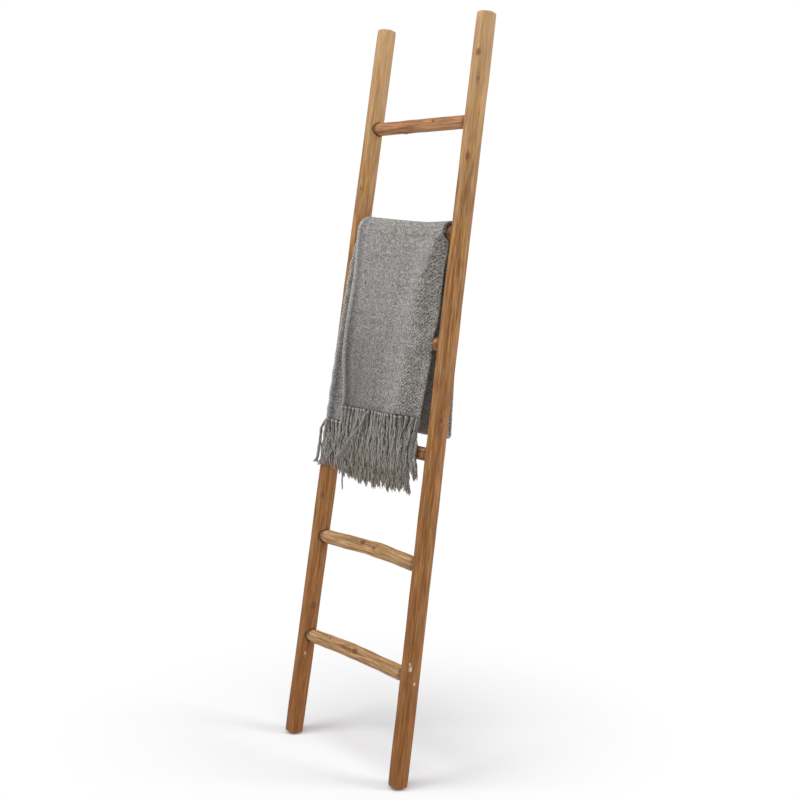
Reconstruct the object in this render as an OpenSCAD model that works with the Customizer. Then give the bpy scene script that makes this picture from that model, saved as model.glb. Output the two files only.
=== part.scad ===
// A rustic pole ladder that leans on a wall and carries a folded, fringed throw on its second rung.
// Row frame: X along the rungs, +Y towards the wall, +Z up. The feet touch the floor on the line Y = 0, Z = 0.
// Ladder frame: the same X, with s up the slope and "front" towards the room. stand() carries it to the row frame.

/* [Ladder] */
// Length of each rail along the slope
rail_length = 1800; // [1520:10:2200]
// Diameter of the peeled rail poles
rail_diameter = 48; // [44:1:60]
// Distance between the rail axes at the feet
foot_spacing = 402; // [360:2:520]
// Distance between the rail axes at the top
top_spacing = 346; // [320:2:520]
// Lean of the ladder from the vertical
lean_angle = 9.6; // [5:0.1:14]
// Bevel around the ends of the rails
end_bevel = 3; // [1:0.5:5]

/* [Rungs] */
// Distance between neighbouring rungs along the slope
rung_pitch = 259; // [220:1:280]
// Distance from the tops of the rails down to the first rung
top_rung_drop = 248; // [120:1:300]
// Typical diameter of a rung
rung_diameter = 34; // [32:0.5:42]
// Diameter of the whittled tenons
tenon_diameter = 30; // [24:0.5:31]
// Length of the whittled cone at each end of a rung
whittle_length = 22; // [10:1:40]
// Wood left between the end of a mortise and the outside of the rail
mortise_wall = 10; // [6:0.5:14]
// Gap around and behind each tenon
tenon_gap = 0.1; // [0.05:0.05:0.3]

/* [Nails] */
// Diameter of the nail shanks
nail_diameter = 2.8; // [2:0.1:4]
// Length of the nails under the head
nail_length = 35; // [28:1:36]
// Diameter of the nail heads
nail_head_diameter = 6; // [5:0.5:9]
// Thickness of the nail heads
nail_head_thickness = 1.2; // [0.8:0.1:2]
// Gap around each nail
nail_gap = 0.05; // [0.02:0.01:0.2]

/* [Throw] */
// Thickness of one strip of the throw, folded in four across its width
strip_thickness = 9; // [6:0.5:12]
// Gap between the throw and the wood that it hangs on
throw_gap = 0.6; // [0.3:0.1:2]
// Gap between the throw and the rails, at each end of its rung
side_gap = 6.5; // [1:0.5:10]
// Drop of the outer strip in front, from the rung's axis to the knots of its fringe
front_drop = 436; // [350:2:600]
// How much lower the under strip hangs in front
under_strip_extra = 40; // [0:2:80]
// Drop of the fold behind, below the rung's axis
back_drop = 498; // [350:2:600]
// How far the under strip drifts to the left over its drop
under_strip_drift = 38; // [0:1:45]
// How far the outer strip narrows on its right over its drop
outer_strip_narrowing = 26; // [0:1:60]
// How far the back narrows on its right over its drop
back_narrowing = 32; // [0:1:60]
// Length of the fringe under its knots
fringe_length = 140; // [80:2:200]
// Distance between neighbouring tassels
tassel_pitch = 17; // [14:0.5:24]
// Thickness of a tassel
tassel_diameter = 7; // [4:0.5:9]

/* [Hidden] */

rung_count = 6;
throw_rung = 2;
// Girth of each rung, as a share of the typical diameter: they are branches, not turned rods.
rung_girth = [0.94, 0.94, 0.98, 0.95, 1.03, 1.03];
// How much a rung's radius swells at its largest knot, and where along the rung the knot is.
rung_knot_swelling = [0.4, 0.4, 0.4, 0.4, 1.6, 0.8];
rung_knot_share = [0.6, 0.5, 0.5, 0.5, 0.6, 0.4];

rail_radius = rail_diameter / 2;
foot_radius = rail_radius - end_bevel;
tenon_radius = tenon_diameter / 2;
mortise_radius = tenon_radius + tenon_gap;
mortise_reach = rail_radius - mortise_wall; // past the rail's axis
tenon_reach = mortise_reach - tenon_gap;
nail_radius = nail_diameter / 2;
nail_head_radius = nail_head_diameter / 2;
head_sink = rail_radius - sqrt(pow(rail_radius, 2) - pow(nail_head_radius + nail_gap, 2));
head_top = rail_radius - head_sink; // the head's outer face, measured from the rail's axis
head_seat = head_top - nail_head_thickness;
cut = 1; // how far a cutting tool runs past the wood
fine = 96; // facets of a large round
small = 32; // facets of a small round

function side_sign(side) = side == "left" ? -1 : 1;
function rung_s(k) = rail_length - top_rung_drop - (k - 1) * rung_pitch;
function rung_radius(k) = rung_diameter * rung_girth[k - 1] / 2;
// Distance from the middle plane to a rail's axis at the height s.
function straight_x(s) = (foot_spacing + (top_spacing - foot_spacing) * s / rail_length) / 2;
function rail_x(side, s) = side_sign(side) * straight_x(s);
// Distance from the middle plane to a rail's inner side at the height s.
function inner_x(side, s) = rail_x(side, s) - side_sign(side) * rail_radius;

// The feet are cut square to the rails, so each stands on the lowest point of its rim.
splay = atan((foot_spacing - top_spacing) / 2 / rail_length);
lift = foot_radius * sqrt(1 - pow(cos(lean_angle) * cos(splay), 2));

// From the ladder frame to the row frame.
module stand() {
    translate([0, -foot_radius * cos(lean_angle), lift])
        rotate([-lean_angle, 0, 0])
            children();
}

// A round hole's tool between two points, with square ends.
module bar(a, b, r, facets = fine) {
    d = b - a;
    translate(a)
        rotate([0, acos(d.z / norm(d)), atan2(d.y, d.x)])
            cylinder(h = norm(d), r = r, $fn = facets);
}

module mortise(side, k) {
    x = rail_x(side, rung_s(k));
    s = side_sign(side);
    bar([x - s * (rail_radius + cut), 0, rung_s(k)], [x + s * mortise_reach, 0, rung_s(k)], mortise_radius);
}

// The nail's way in from behind, used for the rail and for the tenon.
module nail_way(side, k) {
    x = rail_x(side, rung_s(k));
    bar([x, head_seat - nail_length - nail_gap, rung_s(k)], [x, rail_radius + cut, rung_s(k)],
        nail_radius + nail_gap, small);
    bar([x, head_seat, rung_s(k)], [x, rail_radius + cut, rung_s(k)], nail_head_radius + nail_gap, small);
}

// A rail is straight, bevelled at both ends, and splayed about its foot.
module rail(side) {
    pole = rail_length / cos(splay);
    color("peru")
        stand()
            difference() {
                translate([rail_x(side, 0), 0, 0])
                    rotate([0, -side_sign(side) * splay, 0])
                        rotate_extrude($fn = fine)
                            polygon([[0, 0], [foot_radius, 0], [rail_radius, end_bevel],
                                     [rail_radius, pole - end_bevel], [foot_radius, pole], [0, pole]]);
                for (k = [1:rung_count]) {
                    mortise(side, k);
                    nail_way(side, k);
                }
            }
}

// Where a rung's body ends, at the thick end of its whittled cone.
function body_end(side, k) = inner_x(side, rung_s(k)) - side_sign(side) * (cut + whittle_length);
function tenon_tip(side, k) = rail_x(side, rung_s(k)) + side_sign(side) * tenon_reach;

// A rung is one turned profile: tenon, whittled cone, body, cone, tenon. The body swells towards its knot.
module rung(k) {
    left_tip = tenon_tip("left", k);
    body_left = body_end("left", k) - left_tip;
    body_right = body_end("right", k) - left_tip;
    full = tenon_tip("right", k) - left_tip;
    knot = body_left + (body_right - body_left) * rung_knot_share[k - 1];
    color("burlywood")
        stand()
            difference() {
                translate([left_tip, 0, rung_s(k)])
                    rotate([0, 90, 0])
                        rotate_extrude($fn = fine)
                            polygon([[0, 0], [tenon_radius, 0], [tenon_radius, body_left - whittle_length],
                                     [rung_radius(k), body_left],
                                     [rung_radius(k) + rung_knot_swelling[k - 1], knot],
                                     [rung_radius(k), body_right],
                                     [tenon_radius, body_right + whittle_length], [tenon_radius, full], [0, full]]);
                nail_way("left", k);
                nail_way("right", k);
            }
}

module nail(side, k) {
    point = 2 * nail_diameter;
    translate([rail_x(side, rung_s(k)), head_top, rung_s(k)])
        rotate([90, 0, 0])
            rotate_extrude($fn = small)
                polygon([[0, 0], [nail_head_radius, 0], [nail_head_radius, nail_head_thickness],
                         [nail_radius, nail_head_thickness],
                         [nail_radius, nail_head_thickness + nail_length - point],
                         [0, nail_head_thickness + nail_length]]);
}

module nails(side) {
    color("dimgray")
        stand()
            for (k = [1:rung_count]) nail(side, k);
}

// The throw is a strip folded in four, then doubled over end to end, so it lies two strips thick.
hang_s = rung_s(throw_rung);
throw_inner = max([for (k = [throw_rung:throw_rung + 2]) rung_radius(k) + rung_knot_swelling[k - 1]]) + throw_gap;
throw_middle = throw_inner + strip_thickness; // where the outer strip lies on the under strip
throw_outer = throw_middle + strip_thickness;
crown_swell = 0.3; // on each side
crown_lap = 3; // degrees
back_inset = 0.5;
over_rail = rail_radius + throw_gap; // the under strip's edge lies on the front of the left rail
throw_left = inner_x("left", hang_s + throw_outer) + side_gap;
throw_right = inner_x("right", hang_s + throw_outer) - side_gap;
knot_radius = tassel_diameter / 2 + 0.5;
knot_drop = 1;
outer_end_s = hang_s - front_drop;
inner_end_s = outer_end_s - under_strip_extra;

// The front's outline on the slope. The edges drift in proportion to the drop.
function under_left(s) = throw_left - under_strip_drift * (hang_s - s) / front_drop;
function under_right(s) = under_left(s) + (throw_right - throw_left) - outer_strip_narrowing;
function outer_right(s) = throw_right - outer_strip_narrowing * (hang_s - s) / front_drop;

// A flat slab on the slope, between two distances in front of the rungs' plane.
module slope_slab(outline, near, far) {
    translate([0, -near, 0])
        rotate([90, 0, 0])
            linear_extrude(far - near)
                polygon(outline);
}

module throw_front() {
    slope_slab([[throw_left, hang_s], [throw_right, hang_s],
                [outer_right(outer_end_s), outer_end_s], [throw_left, outer_end_s]],
               throw_middle, throw_outer);
    slope_slab([[throw_left, hang_s], [under_right(hang_s), hang_s],
                [under_right(inner_end_s), inner_end_s], [throw_left, inner_end_s]],
               throw_inner, throw_middle);
    slope_slab([[throw_left, hang_s - rail_diameter], [throw_left, inner_end_s],
                [under_left(inner_end_s), inner_end_s]],
               over_rail, throw_outer);
}

// The part over the rung: a bent slab around the rung's axis, from the front's slope to the back's plumb line.
// It is a little thicker than both, and laps past their tops.
module throw_crown() {
    translate([throw_left, 0, hang_s])
        rotate([90, 0, 90])
            rotate([0, 0, lean_angle - crown_lap])
                rotate_extrude(angle = 180 - lean_angle + 2 * crown_lap, $fn = fine)
                    translate([throw_inner - crown_swell, 0])
                        square([throw_outer - throw_inner + 2 * crown_swell, throw_right - throw_left]);
}

// The back hangs plumb behind the rungs and ends in a round fold. It is a little narrower than the crown.
module throw_back() {
    bend = (throw_outer - throw_inner) / 2;
    straight = back_drop - bend;
    left = throw_left + back_inset;
    right = throw_right - back_inset;
    low_right = right - back_narrowing;
    translate([0, 0, hang_s])
        rotate([lean_angle, 0, 0]) {
            translate([0, throw_outer, 0])
                rotate([90, 0, 0])
                    linear_extrude(throw_outer - throw_inner)
                        polygon([[left, 0], [right, 0], [low_right, -straight], [left, -straight]]);
            translate([left, throw_inner + bend, -straight])
                rotate([0, 90, 0])
                    cylinder(h = low_right - left, r = bend, $fn = fine);
        }
}

module throw() {
    color("gray")
        stand() {
            throw_front();
            throw_crown();
            throw_back();
        }
}

// One tassel on the slope: a hanging tuft of yarn, butted against the cloth's end, with a knot just below it.
module tassel(x, top_s, depth) {
    translate([x, -depth, top_s - knot_radius - knot_drop]) sphere(r = knot_radius, $fn = small);
    translate([x, -depth, top_s - fringe_length]) cylinder(h = fringe_length, d = tassel_diameter, $fn = small);
}

// A row of tassels, spread evenly between two edges. A gap too narrow for one gets none.
module tassel_row(left_x, right_x, top_s, depth) {
    room = right_x - left_x - 2 * knot_radius;
    count = floor(room / tassel_pitch);
    step = count > 0 ? room / count : 0;
    if (room > 0)
        for (i = [0:count])
            tassel((left_x + right_x) / 2 + (i - count / 2) * step, top_s, depth);
}

module fringe_outer() {
    color("darkgray")
        stand()
            tassel_row(throw_left, outer_right(outer_end_s), outer_end_s, throw_middle + knot_radius + throw_gap);
}

// Behind the outer row, except that the tassels past the left edge hang on the front of the rail.
module fringe_inner() {
    color("darkgray")
        stand() {
            tassel_row(throw_left, under_right(inner_end_s), inner_end_s, throw_inner + knot_radius);
            tassel_row(under_left(inner_end_s), throw_left, inner_end_s, over_rail + knot_radius);
        }
}

rail("left");  // rail_left
rail("right");  // rail_right
rung(1);  // rung_1
rung(2);  // rung_2
rung(3);  // rung_3
rung(4);  // rung_4
rung(5);  // rung_5
rung(6);  // rung_6
nails("left");  // nails_left
nails("right");  // nails_right
throw();
fringe_outer();
fringe_inner();
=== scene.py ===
"""A rustic pole ladder, leaning as against a wall, with a fringed woven throw folded over its second rung.

All sizes are in metres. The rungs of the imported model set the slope, and every piece is placed from them.
"""

import bpy
import numpy as np
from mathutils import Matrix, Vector


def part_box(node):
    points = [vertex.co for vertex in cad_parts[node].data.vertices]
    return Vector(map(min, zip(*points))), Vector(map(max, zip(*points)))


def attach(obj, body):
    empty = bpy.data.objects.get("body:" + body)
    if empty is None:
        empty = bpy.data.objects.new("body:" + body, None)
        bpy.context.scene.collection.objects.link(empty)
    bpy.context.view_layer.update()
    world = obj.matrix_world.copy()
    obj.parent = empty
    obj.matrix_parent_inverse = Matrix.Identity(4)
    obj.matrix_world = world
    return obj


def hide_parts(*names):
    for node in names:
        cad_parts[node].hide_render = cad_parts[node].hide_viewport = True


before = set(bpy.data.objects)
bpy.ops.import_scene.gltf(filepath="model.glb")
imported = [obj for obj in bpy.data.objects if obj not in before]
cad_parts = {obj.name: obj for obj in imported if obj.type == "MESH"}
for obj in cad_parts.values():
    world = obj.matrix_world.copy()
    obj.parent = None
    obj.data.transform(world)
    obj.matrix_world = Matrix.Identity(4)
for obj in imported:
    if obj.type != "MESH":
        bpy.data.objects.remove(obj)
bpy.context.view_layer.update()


# ---------------------------------------------------------------- The slope
# Six rungs hold the two rails apart, and their middles lie on one line that leans back to the wall.
# A place on the ladder is its x, how far it is in front of the rungs, and its height up the slope.
rung_names = [f"rung_{k}" for k in range(1, 7)]
rung_corners = np.array([[list(corner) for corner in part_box(name)] for name in rung_names])
rung_middles = rung_corners.mean(axis=1)
up_slope = rung_middles[0] - rung_middles[-1]
up_slope /= np.linalg.norm(up_slope)
to_front = np.array([0.0, -up_slope[2], up_slope[1]])
lowest_rung_height = 0.257
foot = rung_middles[-1] - lowest_rung_height * up_slope
rung_heights = (rung_middles - foot) @ up_slope


def on_ladder(x, front, height):
    """The foot's middle, plus x along the rungs, plus front and height along the ladder's own directions."""
    x, front, height = np.broadcast_arrays(x, front, height)
    across = x[..., None] * np.array([1.0, 0, 0])
    return foot + across + front[..., None] * to_front + height[..., None] * up_slope


# ---------------------------------------------------------------- The rails
# Two peeled poles, each hewn to soft flats with a drawknife, cut square at both ends and worn round there.
# The right one bows a little to the left. Blind mortises on the inner sides take the rungs' tenons.
rail_length = 1.8
rail_radius = 0.024
tenon_reach = 0.0139  # past the rail's axis
worn_edge = 0.003
mortise_radius = 0.0165
nail_head_radius = 0.003
rail_bow = {"left": 0.0006, "right": -0.0024}
rail_flats = {"left": (7, np.radians(42)), "right": (7, np.radians(41))}  # how many, and the first's angle
# Knots: the angle round the pole from +x towards the front, in degrees, the height, and the radius.
rail_knots = {
    "left": [(60, 0.62, 0.005), (25, 0.335, 0.006), (75, 1.40, 0.004), (200, 0.9, 0.006), (280, 1.3, 0.005)],
    "right": [(69, 1.704, 0.007), (57, 1.467, 0.006), (51, 1.643, 0.003), (30, 0.86, 0.004),
              (150, 1.15, 0.006), (250, 0.55, 0.007), (300, 1.62, 0.005)],
}
# Chips, where the skin of the wood broke off pale: the angle, the height, and the radius.
rail_chips = {"left": [(35, 0.21, 0.002)],
              "right": [(53, 0.291, 0.0024), (47, 0.281, 0.0042), (12, 0.247, 0.0026)]}


def ease(t):
    """A smooth step: three t squared less two t cubed, with t held between 0 and 1."""
    t = np.clip(t, 0, 1)
    return t * t * (3 - 2 * t)


def wander(along, length, seed):
    """A smooth random curve from about -1 to 1: six sine waves up to the given length, with random phases."""
    draw = np.random.default_rng(seed)
    waves = length * draw.uniform(0.3, 1.0, 6)
    phases = draw.uniform(0, 2 * np.pi, 6)
    return np.sin(2 * np.pi * np.asarray(along)[..., None] / waves + phases).sum(axis=-1) / 3


def hewn(angle, height, radius, flats, share, seed):
    """A hewn pole's radius: a circle, mixed by share with a round-cornered polygon whose flats turn slowly.

    The first flat faces the given angle. Its two neighbours are even steps away, and the others uneven."""
    draw = np.random.default_rng(seed)
    count, first = flats
    sharpness = 60
    total = 0
    for k in range(count):
        uneven = draw.uniform(-0.12, 0.12) if 1 < k < count - 1 else 0
        facing = first + 2 * np.pi * (k + uneven) / count + 0.07 * wander(height, 1.1, seed * 31 + k)
        depth = radius * (0.900 + 0.010 * wander(height, 0.5, seed * 57 + k))
        total = total + np.clip(np.cos(angle - facing) / depth, 1e-9, None) ** sharpness
    return (1 - share) * radius + share * total ** (-1 / sharpness)


def ripple(angle, height, seed):
    """Shallow flutes along a pole, from -1 to 1: waves round it whose phases drift slowly with the height."""
    draw = np.random.default_rng(seed)
    total = 0
    for k in range(9):
        turns = draw.integers(5, 23)
        drift = 2.2 * wander(height, 0.4, seed * 13 + k)
        total = total + np.sin(turns * angle + drift + draw.uniform(0, 6.3))
    return total / 4


def mesh_piece(name, points, faces):
    """A piece with a smooth mesh, from points and from faces as lists of their numbers."""
    mesh = bpy.data.meshes.new(name)
    mesh.from_pydata(points.reshape(-1, 3).tolist(), [], faces)
    mesh.shade_smooth()
    piece = bpy.data.objects.new(name, mesh)
    bpy.context.scene.collection.objects.link(piece)
    return piece


def skin(name, rings):
    """A closed solid over rings of points: quads from each ring to the next, and one face over each end."""
    rows, around = rings.shape[:2]
    index = np.arange(rows * around).reshape(rows, around)
    after = np.roll(index, -1, axis=1)
    quads = np.stack([index[:-1], after[:-1], after[1:], index[1:]], axis=-1).reshape(-1, 4)
    faces = quads.tolist() + [index[0, ::-1].tolist(), index[-1].tolist()]
    volume = np.einsum("ij,ij->i", rings.reshape(-1, 3)[quads[:, 0]],
                       np.cross(rings.reshape(-1, 3)[quads[:, 1]], rings.reshape(-1, 3)[quads[:, 2]])).sum()
    if volume < 0:
        faces = [face[::-1] for face in faces]
    return mesh_piece(name, rings, faces)


def add_vectors(piece, name, values):
    """Keeps three numbers on each point of a mesh, under a name that materials read."""
    kept = piece.data.attributes.new(name, "FLOAT_VECTOR", "POINT")
    kept.data.foreach_set("vector", np.ascontiguousarray(values, np.float32).ravel())


def angle_apart(angle, facing):
    """How far an angle in radians is from a facing in degrees, from minus pi to pi."""
    return (angle - np.radians(facing) + np.pi) % (2 * np.pi) - np.pi


def grain_round(angle, height, radius, spots):
    """Grain coordinates: the pole's own circle and height, with the angle drawn together round each knot."""
    bent = angle.copy()
    for facing, level, size in spots:
        apart = angle_apart(angle, facing)
        near = np.exp(-(apart * rail_radius / (2.2 * size)) ** 2 - ((height - level) / (5 * size)) ** 2)
        bent = bent - 0.75 * apart * near
    level_too = np.broadcast_to(height, angle.shape)
    return np.stack([radius * np.cos(bent), radius * np.sin(bent), level_too], axis=-1)


def spots_mask(angle, height, radius, spots, length=1.5):
    """How far a point is in a spot: 1 inside, eased to 0 outside, longer along the pole than across."""
    mask = np.zeros(angle.shape)
    for facing, level, size in spots:
        apart = angle_apart(angle, facing)
        far = np.hypot(apart * radius / size, (height - level) / (length * size))
        mask = np.maximum(mask, 1 - ease((far - 0.55) / 0.75))
    return mask


half_spacing = np.polyfit(rung_heights, rung_corners[:, 1, 0] - tenon_reach, 1)


def rail_axis(side, height):
    """The straight line through the tenons, plus the pole's bow: half a sine wave from foot to top."""
    sign = 1 if side == "right" else -1
    return sign * np.polyval(half_spacing, height) + rail_bow[side] * np.sin(np.pi * height / rail_length)


def rail(side, seed):
    """A pole: hewn radius by angle and height, worn at both ends, sunk at the mortises and nail heads."""
    near_rungs = (rung_heights[:, None] + np.linspace(-0.0195, 0.0195, 40)).ravel()
    near_ends = worn_edge * (1 - np.cos(np.linspace(0, np.pi / 2, 6)))
    free = np.linspace(worn_edge, rail_length - worn_edge, 330)
    free = free[np.abs(free[:, None] - rung_heights).min(axis=1) > 0.0205]
    height = np.unique(np.concatenate([near_rungs, near_ends, free, rail_length - near_ends]))[:, None]
    angle = np.linspace(0, 2 * np.pi, 96, endpoint=False)[None, :]
    height, angle = np.broadcast_arrays(height, angle)

    radius = hewn(angle, height, rail_radius, rail_flats[side], 0.8, seed)
    radius = radius + 0.00022 * ripple(angle, height, seed + 1)
    radius = radius + 0.0007 * spots_mask(angle, height, rail_radius, rail_knots[side], 2.2)
    radius = radius - 0.0006 * spots_mask(angle, height, rail_radius, rail_chips[side])
    from_end = np.minimum(height, rail_length - height)
    radius = radius - 0.0009 * np.exp(-from_end / 0.018)
    rounding = 1 - np.clip(from_end / worn_edge, 0, 1)
    radius = radius - worn_edge * (1 - np.sqrt(1 - rounding ** 2))

    inner = np.cos(angle) > 0 if side == "left" else np.cos(angle) < 0
    joint_shade_and_dark_marks = np.zeros(radius.shape)
    for level in rung_heights:
        off_axis = np.hypot(radius * np.sin(angle), height - level)
        sunk = inner * (1 - ease((off_axis - mortise_radius + 0.0005) / 0.001))
        radius = radius - 0.004 * sunk
        # Painted shade in and round each mortise, where the joint's gap lies in shade.
        from_hole = np.clip(off_axis - mortise_radius, 0, 1)
        joint_shade_and_dark_marks = np.maximum(joint_shade_and_dark_marks, 0.7 * inner * np.exp(-(from_hole / 0.0016) ** 2))
        nail_x = (1 if side == "right" else -1) * np.polyval(half_spacing, level)
        off_nail = np.hypot(rail_axis(side, height) + radius * np.cos(angle) - nail_x, height - level)
        seat = (np.sin(angle) < 0) * (1 - ease((off_nail - nail_head_radius) / 0.0012))
        radius = radius - 0.0008 * seat
        joint_shade_and_dark_marks = np.maximum(joint_shade_and_dark_marks, 0.8 * seat)

    def cap(row, level, tilt):
        shares = np.array([0.97, 0.8, 0.6, 0.4, 0.2, 0.03])[:, None]
        rough = 0.0003 * np.sin(3 * angle[0] + 9 * shares) * shares
        return radius[row] * shares, level + tilt * rough, shares

    low_r, low_h, shares = cap(0, 0.0, 1)
    high_r, high_h, _ = cap(-1, rail_length, -1)
    all_radius = np.vstack([low_r[::-1], radius, high_r])
    all_height = np.vstack([low_h[::-1], height, high_h])
    all_angle = np.broadcast_to(angle[:1], all_radius.shape)
    rings = on_ladder(rail_axis(side, all_height) + all_radius * np.cos(all_angle),
                      all_radius * np.sin(all_angle), all_height)
    piece = skin(f"rail_{side}_pole", rings)

    flat_end = np.zeros(all_radius.shape)
    flat_end[: len(shares)] = flat_end[-len(shares):] = 1
    knot = spots_mask(all_angle, all_height, rail_radius, rail_knots[side], 1.3)
    chip = spots_mask(all_angle, all_height, rail_radius, rail_chips[side], 1.5)
    all_joint_shade_and_dark_marks = np.vstack([low_r * 0, joint_shade_and_dark_marks, high_r * 0])
    add_vectors(piece, "grain", grain_round(all_angle, all_height, all_radius, rail_knots[side]))
    add_vectors(piece, "marks", np.stack([knot, flat_end, all_joint_shade_and_dark_marks], axis=-1))
    # The height up the pole sets painted light and shade in the finish.
    add_vectors(piece, "wear_and_height", np.stack([chip, all_height / rail_length, all_height * 0 + seed], axis=-1))
    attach(piece, "ladder")
    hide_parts(f"rail_{side}")
    return piece


rail_pieces = [rail("left", 3), rail("right", 8)]


# ---------------------------------------------------------------- The wood's finish
# Painted light makes the tops of the poles paler and greyer.
# The darkening towards the feet is partly the wood's own colour and partly painted shade.
# Teak-like poles, oiled and waxed: golden brown, streaked along the grain, darker towards the feet.
# The same grain shows on the rungs, in their own shades.
def add_node(tree, kind, inputs=None, **settings):
    """Adds a shader node. Inputs are values or the sockets that feed it, and settings are its own choices."""
    made = tree.nodes.new(kind)
    for name, value in settings.items():
        setattr(made, name, value)
    for name, value in (inputs or {}).items():
        if isinstance(value, bpy.types.NodeSocket):
            tree.links.new(value, made.inputs[name])
        else:
            made.inputs[name].default_value = value
    return made


def maths(tree, operation, *values):
    """One Math node, and its result."""
    return add_node(tree, "ShaderNodeMath", dict(enumerate(values)), operation=operation).outputs[0]


def times(tree, first, second):
    """One value times another."""
    return maths(tree, "MULTIPLY", first, second)


def plus(tree, first, second):
    """One value plus another."""
    return maths(tree, "ADD", first, second)


def less(tree, first, second):
    """One value less another."""
    return maths(tree, "SUBTRACT", first, second)


def attribute(tree, name):
    """The three numbers that a mesh keeps on each point under a name."""
    return add_node(tree, "ShaderNodeAttribute", attribute_name=name).outputs["Vector"]


def xyz(tree, vector):
    """A vector's three numbers, each by itself."""
    return add_node(tree, "ShaderNodeSeparateXYZ", {"Vector": vector}).outputs


def new_material(name):
    """A material with nodes, its node tree, and its shader."""
    material = bpy.data.materials.new(name)
    material.use_nodes = True
    return material, material.node_tree, material.node_tree.nodes["Principled BSDF"]


def bumped(tree, shader, height, strength, distance):
    """Gives a shader relief from a height."""
    bump = add_node(tree, "ShaderNodeBump", {"Strength": strength, "Distance": distance, "Height": height})
    tree.links.new(bump.outputs[0], shader.inputs["Normal"])


def mixed(tree, share, first, second, way="MIX"):
    """A colour between two others, by a share from 0 to 1."""
    made = add_node(tree, "ShaderNodeMix", {0: share, 6: first, 7: second}, data_type="RGBA", blend_type=way)
    return made.outputs[2]


def stretched(tree, value, low, high):
    """The value, spread so that low becomes 0 and high becomes 1, and held between them."""
    made = add_node(tree, "ShaderNodeMapRange", {"Value": value, "From Min": low, "From Max": high},
                    interpolation_type="SMOOTHSTEP")
    return made.outputs["Result"]


def noise(tree, place, scale, detail=3.0, roughness=0.55, lift=0.0):
    """A Noise Texture over a place scaled by three numbers, and its value."""
    moved = add_node(tree, "ShaderNodeMapping", {"Vector": place, "Scale": scale, "Location": (lift,) * 3})
    made = add_node(tree, "ShaderNodeTexNoise", {"Vector": moved.outputs[0], "Scale": 1.0, "Detail": detail,
                                                 "Roughness": roughness})
    return made.outputs[0]


def group_of(name, inputs, outputs):
    """A new shader node group with those sockets, and its inner input and output nodes."""
    tree = bpy.data.node_groups.new(name, "ShaderNodeTree")
    for socket, kind in inputs:
        tree.interface.new_socket(socket, in_out="INPUT", socket_type=kind)
    for socket, kind in outputs:
        tree.interface.new_socket(socket, in_out="OUTPUT", socket_type=kind)
    return tree, tree.nodes.new("NodeGroupInput"), tree.nodes.new("NodeGroupOutput")


def make_grain_group():
    """Wood grain from straightened coordinates: blotches, streaks, fine fibres, and rings on a cut end."""
    tree, given, made = group_of(
        "wood grain", [("Place", "NodeSocketVector")],
        [("Streaks", "NodeSocketFloat"), ("Blotches", "NodeSocketFloat"), ("Fibres", "NodeSocketFloat"),
         ("Rings", "NodeSocketFloat")])
    place = given.outputs["Place"]
    streaks = noise(tree, place, (190, 190, 9), 4.0, 0.6)
    blotches = noise(tree, place, (60, 60, 13), 3.0, 0.55, 4.0)
    fibres = noise(tree, place, (430, 430, 22), 3.0, 0.62, 9.0)
    across = xyz(tree, place)
    from_pith = maths(tree, "SQRT", plus(tree, times(tree, across[0], across[0]),
                                         times(tree, across[1], across[1])))
    wobble = times(tree, noise(tree, place, (90, 90, 0), 2.0), 7.0)
    rings = maths(tree, "SINE", plus(tree, times(tree, from_pith, 3400.0), wobble))
    for name, value in (("Streaks", stretched(tree, streaks, 0.25, 0.75)),
                        ("Blotches", stretched(tree, blotches, 0.30, 0.70)),
                        ("Fibres", stretched(tree, fibres, 0.30, 0.68)), ("Rings", rings)):
        tree.links.new(value, made.inputs[name])
    return tree


grain_group = make_grain_group()


def srgb(red, green, blue):
    """A colour given as screen values from 0 to 255, made linear."""
    share = np.array([red, green, blue]) / 255
    linear = np.where(share <= 0.04045, share / 12.92, ((share + 0.055) / 1.055) ** 2.4)
    return (*linear.tolist(), 1.0)


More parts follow.
